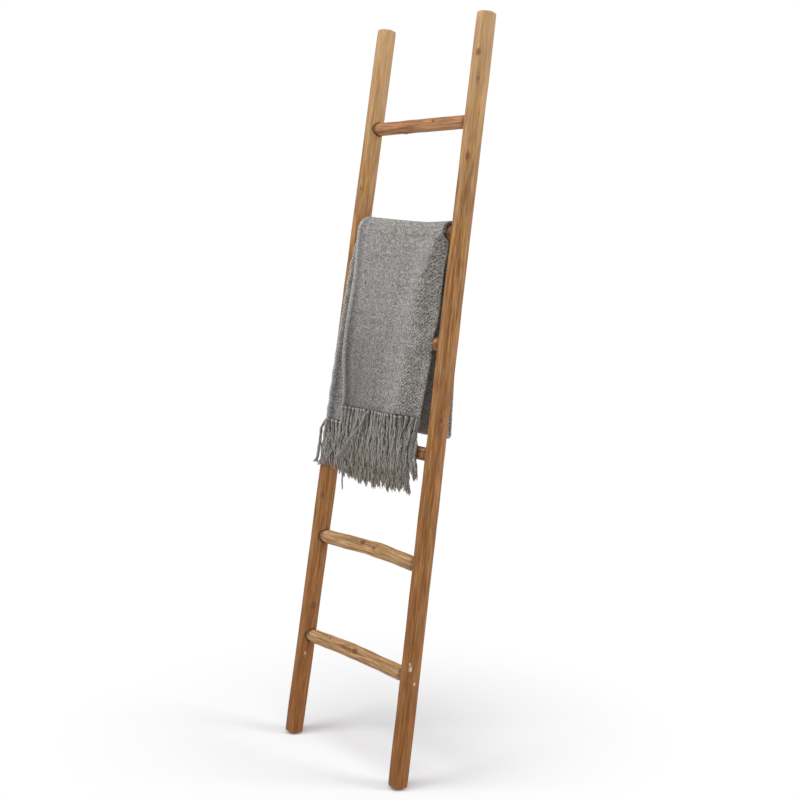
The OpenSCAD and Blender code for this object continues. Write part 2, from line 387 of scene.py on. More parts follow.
def wood_finish(name, dark, middle, light, grey, knot_colour, foot_tone_and_painted_light, gloss):
    """Oiled wood: three streaked shades, grey blotches, fibres, knots, chips, end grain, dirt, painted light
    and shade.
    """
    material, tree, shader = new_material(name)
    knot, flat_end, joint_shade_and_dark_marks = xyz(tree, attribute(tree, "marks"))
    chip, share_up, own = xyz(tree, attribute(tree, "wear_and_height"))
    own_place = add_node(tree, "ShaderNodeCombineXYZ", {"X": own, "Y": own, "Z": 0.0})
    place = add_node(tree, "ShaderNodeVectorMath", {0: attribute(tree, "grain"), 1: own_place.outputs[0]},
                     operation="ADD").outputs[0]
    grain = add_node(tree, "ShaderNodeGroup", node_tree=grain_group)
    tree.links.new(place, grain.inputs["Place"])
    streaks, blotches, fibres, rings = grain.outputs

    def shaded(colour, share):
        return tuple(c * share for c in colour[:3]) + (1.0,)

    colour = mixed(tree, stretched(tree, streaks, 0.1, 0.6), dark, middle)
    # Painted light: the blotches grow greyer up the pole.
    blotch_grey_and_painted_top_light = plus(tree, 0.25, times(tree, share_up, 0.4))
    end_colour = mixed(tree, times(tree, plus(tree, rings, 1.0), 0.35), middle, shaded(dark, 0.5))
    for share, over in (
            (times(tree, stretched(tree, streaks, 0.5, 1.0), 0.75), light),
            (times(tree, blotches, blotch_grey_and_painted_top_light), grey),
            (times(tree, less(tree, 1.0, fibres), 0.60), shaded(dark, 0.38)),
            # Darker towards the feet: partly the wood's own colour, partly painted shade.
            (times(tree, less(tree, 1.0, share_up), foot_tone_and_painted_light), srgb(132, 70, 12)),
            # Painted light: paler and greyer near the top.
            (times(tree, stretched(tree, share_up, 0.7, 1.05), foot_tone_and_painted_light), grey),
            (times(tree, knot, 0.82), knot_colour),
            (times(tree, stretched(tree, knot, 0.8, 1.0), 0.45), srgb(150, 90, 58)),
            (times(tree, chip, plus(tree, fibres, 0.35)), srgb(222, 204, 180)),
            (flat_end, end_colour),
            # Painted shade at the joints, with dark stains at the nail seats and cracks.
            (times(tree, joint_shade_and_dark_marks, 0.85), srgb(38, 26, 17))):
        colour = mixed(tree, share, colour, over)
    tree.links.new(colour, shader.inputs["Base Color"])
    rough = plus(tree, times(tree, less(tree, 1.0, streaks), 0.16), gloss)
    tree.links.new(rough, shader.inputs["Roughness"])
    relief = plus(tree, times(tree, streaks, 0.5), times(tree, fibres, 0.5))
    bumped(tree, shader, relief, 0.5, 0.0008)
    shader.inputs["Specular IOR Level"].default_value = 0.3
    return material


rail_wood = wood_finish("rail wood, oiled teak", srgb(118, 74, 34), srgb(166, 114, 56), srgb(206, 160, 96),
                        srgb(180, 148, 106), srgb(88, 46, 26), 0.55, 0.46)
for piece in rail_pieces:
    piece.data.materials.append(rail_wood)


# ---------------------------------------------------------------- The rungs
# Six branches, barked and whittled at both ends to tenons that are glued and nailed into the rails.
# The fifth has a knee and the sixth is a little bent. Those two are paler than the others.
rung_radii = [0.0160, 0.0158, 0.0164, 0.0160, 0.0176, 0.0176]
rung_bends = [0.0, 0.0, 0.0, 0.0, 0.0052, 0.0030]  # how far the middle rises from the straight line
rung_knees = [0.5, 0.5, 0.5, 0.5, 0.60, 0.45]  # where along the rung the bend is
neck_length = 0.013
neck_radius = 0.0152
# Knots: the angle from the rung's top towards the front, the place along it from its middle, the radius.
rung_knots = [
    [(70, 0.055, 0.0035), (200, -0.06, 0.004)],
    [(60, -0.1, 0.004)],
    [(75, 0.12, 0.004)],
    [(65, 0.1, 0.004)],
    [(48, -0.012, 0.0065), (72, 0.035, 0.003), (190, 0.08, 0.005)],
    [(62, 0.012, 0.0065), (40, -0.09, 0.003), (230, -0.03, 0.005)],
]


def rung(k, seed):
    """A branch from rail to rail: hewn radius, necked at both ends, on a path that bends at its knee."""
    level, thick = rung_heights[k], rung_radii[k]
    inner_face = np.array([rail_axis("left", level) + rail_radius, rail_axis("right", level) - rail_radius])
    reach = 0.009  # into the mortises
    along = np.linspace(inner_face[0] - reach, inner_face[1] + reach, 150)[:, None]
    angle = np.linspace(0, 2 * np.pi, 56, endpoint=False)[None, :]
    along, angle = np.broadcast_arrays(along, angle)
    from_rail = np.minimum(along - inner_face[0], inner_face[1] - along)

    radius = hewn(angle, along + 2 * seed, thick * 1.02, (8, 0.2), 0.35, seed)
    radius = radius + 0.00024 * ripple(angle, along * 2, seed + 1)
    radius = radius + 0.00035 * wander(along, 0.16, seed + 2)
    knee = inner_face[0] + rung_knees[k] * (inner_face[1] - inner_face[0])
    if rung_bends[k]:
        radius = radius + 0.0013 * np.exp(-((along - knee) / 0.02) ** 2)
    radius = radius + 0.0011 * spots_mask(angle, along, thick, rung_knots[k], 1.8)
    full = ease((from_rail + 0.002) / neck_length)
    radius = neck_radius + (radius - neck_radius) * full

    to_knee = np.where(along < knee, (along - inner_face[0]) / (knee - inner_face[0]),
                       (inner_face[1] - along) / (inner_face[1] - knee))
    rise = rung_bends[k] * np.sin(np.pi / 2 * np.clip(to_knee, 0, 1)) ** 1.5
    rings = on_ladder(along, radius * np.sin(angle) - 0.3 * rise, level + rise + radius * np.cos(angle))
    shares = np.array([0.7, 0.35, 0.05])[:, None]
    low = on_ladder(along[0] + 0 * shares, shares * radius[0] * np.sin(angle[0]),
                    level + shares * radius[0] * np.cos(angle[0]))
    high = on_ladder(along[-1] + 0 * shares, shares * radius[-1] * np.sin(angle[0]),
                     level + shares * radius[-1] * np.cos(angle[0]))
    piece = skin(f"rung_{k + 1}_branch", np.concatenate([low[::-1], rings, high]))

    def with_ends(middle, end):
        return np.vstack([np.full((3, middle.shape[1]), end), middle, np.full((3, middle.shape[1]), end)])

    grain = grain_round(angle, along, radius, rung_knots[k])
    grain = np.concatenate([np.repeat(grain[:1], 3, axis=0), grain, np.repeat(grain[-1:], 3, axis=0)])
    knot = with_ends(spots_mask(angle, along, thick, rung_knots[k], 1.4), 0)
    # Painted shade where the rung goes into the rail, darkest on its hidden ends.
    joint_shade_and_dark_marks = with_ends(0.6 * np.exp(-(np.clip(from_rail, 0, 1) / 0.0018) ** 2), 1)
    crack = np.zeros(radius.shape)
    for facing, place, size in rung_knots[k]:
        if size > 0.006:
            drift = 0.05 * np.sin((along - place) * 60)
            apart = angle_apart(angle - drift, facing + 7)
            fade = 1 - ease((np.abs(along - place) - 0.02) / 0.05)
            crack = np.maximum(crack, np.exp(-(apart * thick / 0.0012) ** 2) * fade)
    joint_shade_and_dark_marks = np.maximum(joint_shade_and_dark_marks, 0.75 * with_ends(crack, 0))
    add_vectors(piece, "grain", grain)
    add_vectors(piece, "marks", np.stack([knot, knot * 0, joint_shade_and_dark_marks], axis=-1))
    add_vectors(piece, "wear_and_height", np.stack([knot * 0, knot * 0 + 1, knot * 0 + seed], axis=-1))
    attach(piece, "ladder")
    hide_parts(f"rung_{k + 1}")
    return piece


rung_pieces = [rung(k, 20 + 3 * k) for k in range(6)]
reddish_rung_wood = wood_finish("rung wood, reddish branch", srgb(116, 70, 38), srgb(158, 104, 62),
                                srgb(204, 152, 106), srgb(184, 136, 96), srgb(66, 36, 20), 0.0, 0.5)
pale_rung_wood = wood_finish("rung wood, pale branch", srgb(132, 90, 50), srgb(184, 138, 88),
                             srgb(226, 188, 138), srgb(196, 160, 116), srgb(76, 48, 28), 0.0, 0.55)
for k, piece in enumerate(rung_pieces):
    piece.data.materials.append(pale_rung_wood if k >= 4 else reddish_rung_wood)


# ---------------------------------------------------------------- The nails
# Twelve plain steel nails, driven in from behind through the tenons, dull and a little rusty.
def steel_finish():
    """Dull steel: grey, with brown rust where a coarse noise is high."""
    material, tree, shader = new_material("nail steel, dull")
    place = add_node(tree, "ShaderNodeTexCoord").outputs["Object"]
    rust = stretched(tree, noise(tree, place, (700, 700, 700), 4.0), 0.48, 0.66)
    tree.links.new(mixed(tree, rust, srgb(128, 124, 118), srgb(92, 58, 36)), shader.inputs["Base Color"])
    tree.links.new(less(tree, 0.85, times(tree, rust, 0.75)), shader.inputs["Metallic"])
    tree.links.new(plus(tree, 0.42, times(tree, rust, 0.4)), shader.inputs["Roughness"])
    bumped(tree, shader, noise(tree, place, (1500, 1500, 1500)), 0.4, 0.0003)
    return material


nail_steel = steel_finish()
for name in ("nails_left", "nails_right"):
    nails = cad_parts[name]
    nails.data.materials.clear()
    nails.data.materials.append(nail_steel)


# ---------------------------------------------------------------- The throw
# One woven blanket, cut 1.27 m by 2.05 m, folded in four across its width and then doubled over end to end.
# The folds are drawn without slack, so the sheet itself measures about 1.15 m across.
# It hangs over the second rung eight layers thick. The outer strip ends 40 mm above the under strip in front.
cloth_width, cloth_length = 1.27, 2.05
cloth_thickness = 0.0011
hang_height = rung_heights[1]
hang_middle = rung_middles[1]
outer_end, inner_end = 0.857, 0.817
back_drop = 0.484  # from the rung's axis down to where the lower fold begins to turn
over_wood = 0.0169  # from the rung's axis to the innermost layer
last_layer = 7  # the outermost of the eight over the rung
back_gaps = (0.0026, 0.0024)  # between layers behind, at the left and the right
# How many points go across a hidden layer, the layer that shows, and the two kinds of turn between layers.
hidden, shown, small_turn, large_turn = 20, 54, 6, 8
layer_starts = {2: 0, 1: hidden + small_turn, 0: 2 * (hidden + small_turn),
                3: 2 * (hidden + small_turn) + shown + large_turn}
lean_back = np.arctan2(up_slope[1], up_slope[2])


def outer_left(height):
    """The outer strip's left edge in front: nearly straight, drawn in at its lower end."""
    return -0.1455 + 0.0145 * ease((0.99 - height) / 0.14)


def outer_right(height):
    """The outer strip's right edge in front: straight to the third rung, then eased to the left."""
    return 0.1475 - 0.0165 * ease((1.05 - height) / 0.21)


def under_left(height):
    """The under strip's left edge in front: it drifts left by the 0.45th power of the drop."""
    return -0.1495 - 0.0305 * (np.clip(hang_height - height, 0, None) / 0.463) ** 0.45


def under_right(height):
    """The under strip's right edge: the strip keeps its width, so this edge drifts left as the other does."""
    return np.minimum(0.1465, under_left(height) + 0.296)


def ridge(height):
    """Where the front stands out most: quick to the left at first, then slower."""
    return 0.139 - 0.070 * (np.clip(hang_height - height, 0, None) / 0.436) ** 0.66


def crown_gap(x):
    """The spacing of layers over the rung: tightest right of the middle, looser towards both folded edges."""
    left_of, right_of = np.clip((0.07 - x) / 0.208, 0, 1.2), np.clip((x - 0.07) / 0.078, 0, 1.2)
    return (0.0086 + 0.0130 * left_of ** 1.2 + 0.0030 * right_of ** 1.5) / last_layer


def folded(left, right, gap_left, gap_right):
    """The strip's cross-section, row by row, as x and depth in layers, from 0 outside to 3 inside.

    The cloth runs from a free left edge along layer 2 to the right, comes back along layer 1, turns at the
    left, runs along layer 0 to the right, turns round the inner fold and comes back along layer 3."""
    left, right, gap_left, gap_right = (np.atleast_1d(v)[:, None] for v in (left, right, gap_left, gap_right))
    from_right, from_left = right - 1.5 * gap_right, left + 0.5 * gap_left
    small = np.linspace(0, np.pi, small_turn + 2)[None, 1:-1]
    large = np.linspace(0, np.pi, large_turn + 2)[None, 1:-1]
    off_left = np.linspace(0, 1, hidden)[None, :] ** 1.7  # closer together at the left
    front = np.linspace(0, 1, shown)[None, :]
    rows = np.arange(left.size)[:, None]
    free_third = left + 0.0030 + 0.0012 * np.sin(rows * 1.15)
    free_fourth = left + 0.0008 + 0.0010 * np.sin(rows * 0.9 + 2)

    def line(start, end, share):
        return start + (end - start) * share

    flat = np.ones(left.shape)
    x = [line(free_third, from_right, off_left), from_right + 0.5 * gap_right * np.sin(small),
         line(from_left, from_right, off_left[:, ::-1]), from_left - 0.5 * gap_left * np.sin(small),
         line(from_left, from_right, front), from_right + 1.5 * gap_right * np.sin(large),
         line(free_fourth, from_right, off_left[:, ::-1])]
    depth = [2 + 0 * off_left, 1.5 + 0.5 * np.cos(small), 1 + 0 * off_left, 0.5 + 0.5 * np.cos(small),
             0 * front, 1.5 - 1.5 * np.cos(large), 3 + 0 * off_left]
    return np.hstack(x), np.hstack([flat * d for d in depth])


def rail_shift(x, height):
    """How far cloth is held off the rungs' plane where it lies on the left rail, with room to slide 6 mm."""
    begins = rail_axis("left", height) + 0.030
    return 0.0082 * ease((begins - x) / 0.018)


def sag(x, height):
    """The dip of the front between its rungs: squared sines, fading over the left rail and to the right."""
    pitch = rung_heights[1] - rung_heights[2]
    between = np.sin(np.pi * (hang_height - height) / pitch) ** 2
    return 0.0048 * between * ease((x + 0.163) / 0.03) * ease((0.10 - x) / 0.05)


def front_waves(x, height):
    """The front's relief: a ridge from the crown's right down to the left, a valley beside it, soft waves."""
    drop = hang_height - height
    to_ridge = x - ridge(height)
    swell = 0.0056 * np.exp(-(to_ridge / np.where(to_ridge < 0, 0.034, 0.030)) ** 2)
    edge = 0.0036 * np.exp(-((x + 0.150) / 0.014) ** 2) * ease(drop / 0.25)
    valley = 0.0034 * np.exp(-((x + 0.088) / 0.040) ** 2) * ease((drop - 0.08) / 0.25)
    waves = (0.0009 * np.sin(2 * np.pi * (x / 0.125 + drop / 0.9) + 0.6)
             + 0.0007 * np.sin(2 * np.pi * (x / 0.067 + drop / 0.31) + 4.0))
    return (swell + waves) * ease(drop / 0.12) + edge - valley


def roll_back(x, height, layer):
    """How far the front curls behind to the right of its ridge.

    Just below the second rung it follows that rung's circle, and at the third it comes down to the wood."""
    drop = hang_height - height
    share = ease((x - ridge(height) + 0.004) / (outer_right(height) - ridge(height) + 0.004))
    round_rung = over_wood - np.sqrt(np.clip(over_wood ** 2 - drop ** 2, 0, None))
    depth = round_rung + (0.0215 - over_wood) * ease((drop - 0.015) / 0.04)
    depth = np.where(height > rung_heights[2], depth, 0.0160)
    on_rung = np.exp(-((height - rung_heights[2]) / 0.038) ** 2)
    past_under = ease((x - under_right(height)) / (outer_right(height) - under_right(height)))
    depth = depth * (1 - on_rung) * share + 0.0105 * past_under * on_rung
    return depth + 0.0010 * share * layer * ease(drop / 0.022)


def strip_front(strip, low, rows, edges):
    """The strip in front: its distance from the rungs is the inner layer's, plus layers times a gap."""
    rise = np.linspace(0, 1, rows, endpoint=False) ** 0.97
    height = (low + (hang_height - low) * rise)[:, None]
    loose = ease((hang_height - height) / 0.10)

    def gap_at(x):
        return crown_gap(x) * (1 - loose) + 0.00272 * loose

    left, right = edges[0](height), edges[1](height)
    x, depth = folded(left[:, 0], right[:, 0], gap_at(left)[:, 0], gap_at(right)[:, 0])
    layer = last_layer - depth if strip == "outer" else depth
    near = over_wood + 0.0008 * loose + rail_shift(x, height) - sag(x, height) + front_waves(x, height)
    front = near + layer * gap_at(x) - roll_back(x, height, layer)
    if strip == "under":
        front = front + 0.0030 * np.exp(-((x - left) / 0.0045) ** 2) * loose
    end_wave = 0.0009 * np.sin(x * 71 + 1.0) + 0.0006 * np.sin(x * 167)
    height = height + end_wave * (1 - ease((height - low) / 0.12))
    return on_ladder(x, front, height)


def strip_crown(strip, rows, front_edges, back_edges):
    """The strip over the rung: arcs about the rung's axis, from the slope's front round to plumb behind."""
    share = np.linspace(0, 1, rows, endpoint=False)[:, None]
    turn = share * (np.pi - lean_back)
    left = front_edges[0] + (back_edges[0] - front_edges[0]) * ease(share)
    right = front_edges[1] + (back_edges[1] - front_edges[1]) * ease(share)
    x, depth = folded(left[:, 0], right[:, 0], crown_gap(left)[:, 0], crown_gap(right)[:, 0])
    layer = last_layer - depth if strip == "outer" else depth
    reach = (over_wood + layer * crown_gap(x))[..., None]
    about = np.cos(turn)[..., None] * to_front + np.sin(turn)[..., None] * up_slope
    return hang_middle + x[..., None] * np.array([1.0, 0, 0]) + reach * about


def back_place(x, drop, layers):
    """Behind, plumb: the distance from the rung's axis is the inner layer's plus layers times a gap."""
    loose = ease(drop / 0.14)
    gap = crown_gap(x) * (1 - loose) + (back_gaps[0] + 0.00045 * np.sin(x * 25 + 1)) * loose
    waves = (0.0024 * np.sin(2 * np.pi * (x / 0.14 + drop / 1.1))
             + 0.0013 * np.sin(2 * np.pi * (x / 0.08 - drop)))
    behind = over_wood + layers * gap + waves * loose
    x, behind, drop = np.broadcast_arrays(x, behind, drop)
    return hang_middle + np.stack([x, behind, -drop], axis=-1)


def back_edges(strip, drop):
    """The edges behind: the left one nearly plumb, the right one drawn in with the drop."""
    share = drop / back_drop
    right = 0.1465 - 0.0285 * share if strip == "outer" else 0.132 - 0.014 * share
    return -0.1475 + 0.0075 * share, right


def strip_back(strip, rows):
    """The strip behind, from the crown down to where the lower fold begins."""
    drop = np.linspace(0, back_drop, rows, endpoint=False)[:, None]
    left, right = back_edges(strip, drop)
    x, depth = folded(left[:, 0], right[:, 0], 0 * left[:, 0] + back_gaps[0], 0 * left[:, 0] + back_gaps[1])
    return back_place(x, drop, last_layer - depth if strip == "outer" else depth)


def lower_fold(rows):
    """The fold at the bottom of the back: each layer turns half a circle about the pile's middle."""
    turn = np.linspace(0, np.pi, rows, endpoint=False)[:, None]
    left, right = back_edges("outer", back_drop)
    still = 0 * turn[:, 0]
    x, depth = folded(left + still, right + still, still + back_gaps[0], still + back_gaps[1])
    from_middle = last_layer / 2 - depth
    layers = last_layer / 2 + from_middle * np.cos(turn)
    return back_place(x, back_drop + from_middle * back_gaps[0] * np.sin(turn), layers)


outer_front = strip_front("outer", outer_end, 86, (outer_left, outer_right))
under_front = strip_front("under", inner_end, 72, (under_left, under_right))
crown_edges = {"outer": (outer_left(hang_height), outer_right(hang_height)),
               "under": (under_left(hang_height), under_right(hang_height))}
cloth_points = np.concatenate([
    outer_front,
    strip_crown("outer", 28, crown_edges["outer"], back_edges("outer", 0.0)),
    strip_back("outer", 62),
    lower_fold(12),
    strip_back("under", 46)[::-1],
    strip_crown("under", 20, crown_edges["under"], back_edges("under", 0.0))[::-1],
    under_front[::-1],
])


front_row, front_column = 20, 80  # both run through the outer strip in front


def cloth_places(points):
    """Where each point lies on the flat cloth: lengths along one row and one column, scaled to its size."""
    row, column = points[front_row], points[:, front_column]
    across = np.concatenate([[0], np.cumsum(np.linalg.norm(np.diff(row, axis=0), axis=1))])
    along = np.concatenate([[0], np.cumsum(np.linalg.norm(np.diff(column, axis=0), axis=1))])
    across, along = across / across[-1] * cloth_width, along / along[-1] * cloth_length
    return np.stack(np.broadcast_arrays(across[None, :], along[:, None], 0.0), axis=-1)


def woven_sheet(name, points):
    """A sheet over a grid of points, each cell one face, given its thickness on both sides by Solidify."""
    rows, columns = points.shape[:2]
    index = np.arange(rows * columns).reshape(rows, columns)
    quads = np.stack([index[:-1, :-1], index[:-1, 1:], index[1:, 1:], index[1:, :-1]], axis=-1).reshape(-1, 4)
    piece = mesh_piece(name, points, quads.tolist())
    add_vectors(piece, "cloth", cloth_places(points))
    painted_light = np.zeros((rows, columns, 3))
    fold, selvage = layer_starts[0], columns - 1
    # Painted highlights on the folded edges and selvages, and painted shade beside each.
    painted_light[:, [fold - 3, fold - 2, fold - 1, fold, selvage - 1, selvage], 0] = 1  # these stand out light
    painted_light[:, [fold + 1, selvage - 2], 0] = 0.3
    painted_light[:, fold + 2:fold + 6, 1] = 0.5, 0.5, 0.35, 0.15  # and the shade beside each
    painted_light[:, selvage - 5:selvage - 1, 1] = 0.3, 0.5, 0.9, 0.6
    low = 1 - np.clip(np.arange(rows) / 80, 0, 1)[:, None]
    # Painted shade: the outer strip's lower left is darkened.
    painted_light[:, fold:fold + shown, 2] = 0.6 * ease(low) * ease((44 - np.arange(shown)) / 36)
    add_vectors(piece, "painted_light", painted_light)
    solid = piece.modifiers.new("thickness", "SOLIDIFY")
    solid.thickness, solid.offset = cloth_thickness, 0
    return piece


throw = woven_sheet("woven_throw", cloth_points)
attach(throw, "throw")
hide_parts("throw")


# ---------------------------------------------------------------- The weave
# A coarse twill of soft spun yarn, greige on a darker ground. Each yarn differs a little in shade.
yarn_pitch = 0.0023
weave_light, weave_middle, weave_dark = srgb(186, 182, 177), srgb(121, 118, 114), srgb(56, 53, 50)


def make_twill_group():
    """A two-over-two twill from cloth coordinates: which yarn is on top, its round profile, and its shade."""
    tree, given, made = group_of(
        "twill weave", [("Place", "NodeSocketVector"), ("Pitch", "NodeSocketFloat")],
        [("Shade", "NodeSocketFloat"), ("Relief", "NodeSocketFloat")])
    drift = add_node(tree, "ShaderNodeTexNoise",
                     {"Vector": given.outputs["Place"], "Scale": 60.0, "Detail": 2.0})
    moved = add_node(tree, "ShaderNodeVectorMath", {0: drift.outputs["Color"], 1: (0.0026, 0.0026, 0.0)},
                     operation="MULTIPLY")
    place = add_node(tree, "ShaderNodeVectorMath", {0: given.outputs["Place"], 1: moved.outputs[0]},
                     operation="ADD")
    split = xyz(tree, place.outputs[0])
    across = maths(tree, "DIVIDE", split[0], given.outputs["Pitch"])
    along = maths(tree, "DIVIDE", split[1], given.outputs["Pitch"])
    warp, weft = maths(tree, "FLOOR", across), maths(tree, "FLOOR", along)
    step = maths(tree, "FLOORED_MODULO", less(tree, warp, weft), 4.0)
    warp_on_top = maths(tree, "LESS_THAN", step, 1.5)

    def profile(count):
        off = less(tree, maths(tree, "FRACT", count), 0.5)
        return less(tree, 1.0, times(tree, times(tree, off, off), 3.2))

    def random(*places):
        spot = add_node(tree, "ShaderNodeCombineXYZ", dict(zip("XYZ", places)))
        return add_node(tree, "ShaderNodeTexWhiteNoise", {"Vector": spot.outputs[0]}).outputs["Value"]

    def pick(top, under):
        share = add_node(tree, "ShaderNodeMix", {0: warp_on_top, 2: under, 3: top}, data_type="FLOAT")
        return share.outputs[0]

    relief = pick(profile(across), profile(along))
    cell = random(warp, weft, 5.0)
    shade = plus(tree, times(tree, cell, 0.66),
                 times(tree, pick(random(warp, 1.0, 2.0), random(3.0, weft, 4.0)), 0.20))
    shade = plus(tree, shade, times(tree, warp_on_top, 0.16))
    # Painted shade: each yarn is darker towards its edges, by its round profile.
    shade = plus(tree, shade, times(tree, relief, 0.22))
    tree.links.new(shade, made.inputs["Shade"])
    tree.links.new(plus(tree, relief, times(tree, cell, 0.4)), made.inputs["Relief"])
    return tree


twill_group = make_twill_group()


def weave_finish():
    """Woven yarn: three shades by the twill's shade, a slow fading, painted shade and edge highlights, a soft
    sheen.
    """
    material, tree, shader = new_material("woven cloth, greige twill")
    place = attribute(tree, "cloth")
    twill = add_node(tree, "ShaderNodeGroup", node_tree=twill_group)
    tree.links.new(place, twill.inputs["Place"])
    twill.inputs["Pitch"].default_value = yarn_pitch
    slub = noise(tree, place, (190, 150, 1), 3.0, 0.6)
    shade = plus(tree, twill.outputs["Shade"], times(tree, less(tree, slub, 0.5), 0.55))
    colour = mixed(tree, stretched(tree, shade, 0.12, 0.62), weave_dark, weave_middle)
    colour = mixed(tree, stretched(tree, shade, 0.52, 1.05), colour, weave_light)
    fading = noise(tree, place, (7, 5, 1), 2.0)
    colour = mixed(tree, times(tree, fading, 0.20), colour, srgb(96, 91, 85))
    painted_light, shade_beside, painted_lower_left_shade = xyz(tree, attribute(tree, "painted_light"))
    # Painted shade beside the folded edges and over the outer strip's lower left.
    shaded = plus(tree, shade_beside, painted_lower_left_shade)
    colour = mixed(tree, shaded, colour, (0.32, 0.32, 0.34, 1), "MULTIPLY")
    split = xyz(tree, place)
    twist = maths(tree, "SINE", plus(tree, times(tree, split[1], 760.0), times(tree, split[0], 900.0)))
    # Painted highlight on the folded edges and selvages, twisted like yarn.
    painted_edge_highlight = times(tree, painted_light, plus(tree, 0.34, times(tree, twist, 0.30)))
    colour = mixed(tree, painted_edge_highlight, colour, srgb(214, 211, 206))
    tree.links.new(colour, shader.inputs["Base Color"])
    shader.inputs["Roughness"].default_value = 0.92
    shader.inputs["Specular IOR Level"].default_value = 0.2
    shader.inputs["Sheen Weight"].default_value = 0.25
    shader.inputs["Sheen Roughness"].default_value = 0.5
    fluff = noise(tree, place, (900, 900, 1), 2.0)
    relief = plus(tree, twill.outputs["Relief"], times(tree, fluff, 0.35))
    bumped(tree, shader, relief, 0.8, 0.0012)
    return material


throw.data.materials.append(weave_finish())


# ---------------------------------------------------------------- The fringes
# The warp's own ends, knotted in bunches of four crimped yarns below each end of the cloth.
# Every layer has its own row of tassels. They fall over the fourth rung and hang plumb below it.
tassels_in_layer = 21
yarns_in_tassel = 4
tassel_length = 0.140
yarn_radius = 0.0021
knot_radius = 0.0037
rings_in_yarn = 19
knot_rings, knot_sides = 5, 6


def hang_from(front, height, x, down, rest_height, rest_front):
    """How a tassel's distance from the rungs' plane falls with its drop.

    Above the fourth rung it runs straight to where it rests on the rung or on the tassels behind, or plumb
    where that is further out, and below it hangs plumb. Over the left rail it lies on the pole."""
    slant = np.tan(lean_back)
    plumb = front - (height - rest_height) * slant
    rests = np.maximum(plumb, rest_front)
    level = height - down * np.cos(lean_back)
    above = front + (rests - front) * (height - level) / (height - rest_height)
    fallen = np.where(level > rest_height, above, rests - (rest_height - level) * slant)
    off_rail = np.clip(np.abs(x - rail_axis("left", level)) - 0.006, 0, rail_radius + 0.012)
    on_rail = np.sqrt(np.clip((rail_radius + 0.0032) ** 2 - off_rail ** 2, 0, None))
    return np.maximum(fallen, on_rail), level


def tassel_row_places(layer, left, right, height, front_at, draw):
    """One layer's tassels: even steps from edge to edge, each a little off, with its own lean and length.

    The ones at both ends lean outwards, and the ones over the left rail are shorter."""
    x = np.linspace(left + 0.004, right - 0.004, tassels_in_layer) + draw.normal(0, 0.0016, tassels_in_layer)
    bare = (4 if layer > 3 else 0) * ease((x - under_right(inner_end)) / 0.03)  # no under strip behind these
    return dict(
        x=x, height=height + draw.normal(0, 0.0012, x.size), front=front_at(x), layer=layer - bare,
        lean=(draw.normal(0.0, 0.05, x.size) + 0.09 * ease((x - 0.09) / 0.04)
              - 0.08 * ease((-0.12 - x) / 0.06)),
        length=tassel_length * draw.uniform(0.95, 1.05, x.size) * (0.86 + 0.16 * ease((x + 0.19) / 0.14)))


def strays(yarns, spread, way, seed):
    """Loose yarns along a line through places as x, front and height, twisted, and frayed at the end."""
    draw = np.random.default_rng(seed)
    way = np.array(way)
    share = np.linspace(0, 1, rings_in_yarn)
    marks = np.linspace(0, 1, len(way))
    x, front, height = (np.interp(share, marks, way[:, k]) for k in range(3))
    turn = 2 * np.pi * np.arange(yarns)[:, None] / yarns + 7 * share
    wide = spread * (0.6 + 0.4 * share + 1.1 * ease((share - 0.84) / 0.16))
    crimp = draw.normal(0, 0.0008, (2, yarns, rings_in_yarn))
    return on_ladder(x + wide * np.cos(turn) + crimp[0], front + wide * (1 + np.sin(turn)), height + crimp[1])


def fringe(name, node, rows, extra, seed):
    """Tassels as bunches of closed tubes: each yarn keeps its place round a line that sways and hangs."""
    draw = np.random.default_rng(seed)
    keys = ("x", "height", "front", "layer", "lean", "length")
    t = {key: np.concatenate([row[key] for row in rows]) for key in keys}
    count = t["x"].size
    path = np.linspace(0, 1, rings_in_yarn) ** 1.05
    points, tint, along = [], [], []
    sway_phase = draw.uniform(0, 6.3, (count, 3))
    for strand in range(yarns_in_tassel):
        down = t["length"][:, None] * path * draw.uniform(0.93, 1.03, (count, 1)) + 0.0005
        sway = (0.0030 * np.sin(down * 55 + sway_phase[:, :1])
                + 0.0020 * np.sin(down * 120 + sway_phase[:, 1:2]))
        sway = sway * ease(down / 0.05)
        lean = t["lean"][:, None] * np.clip(down - 0.01, 0, None)
        spread = np.interp(down, [0, 0.005, 0.014, 0.07, 0.14], [0.0026, 0.0009, 0.0018, 0.0022, 0.0034])
        round_at = 2 * np.pi * strand / yarns_in_tassel + sway_phase[:, 2:] + down * 42
        crimp = draw.normal(0, 0.00075, (2, count, rings_in_yarn)) * ease(down / 0.02)
        x = t["x"][:, None] + sway + lean + spread * np.cos(round_at) + crimp[0]
        rest = rest_front + rest_step * t["layer"][:, None]
        front, level = hang_from(t["front"][:, None], t["height"][:, None], x, down, rest_height, rest)
        front = front + spread * (1 + np.sin(round_at)) * 0.8 + crimp[1]
        points.append(on_ladder(x, front, level))
        tint.append(np.broadcast_to(draw.uniform(0, 1, (count, 1)), down.shape))
        along.append(down / tassel_length)
    lines, tint, along = np.concatenate(points), np.concatenate(tint), np.concatenate(along)
    lines = np.concatenate([lines, extra])
    tint = np.concatenate([tint, np.broadcast_to(draw.uniform(0.3, 1, (len(extra), 1)), extra.shape[:2])])
    along = np.concatenate([along, np.broadcast_to(path, extra.shape[:2])])
    return yarn_mesh(name, node, lines, tint, along, t, draw)


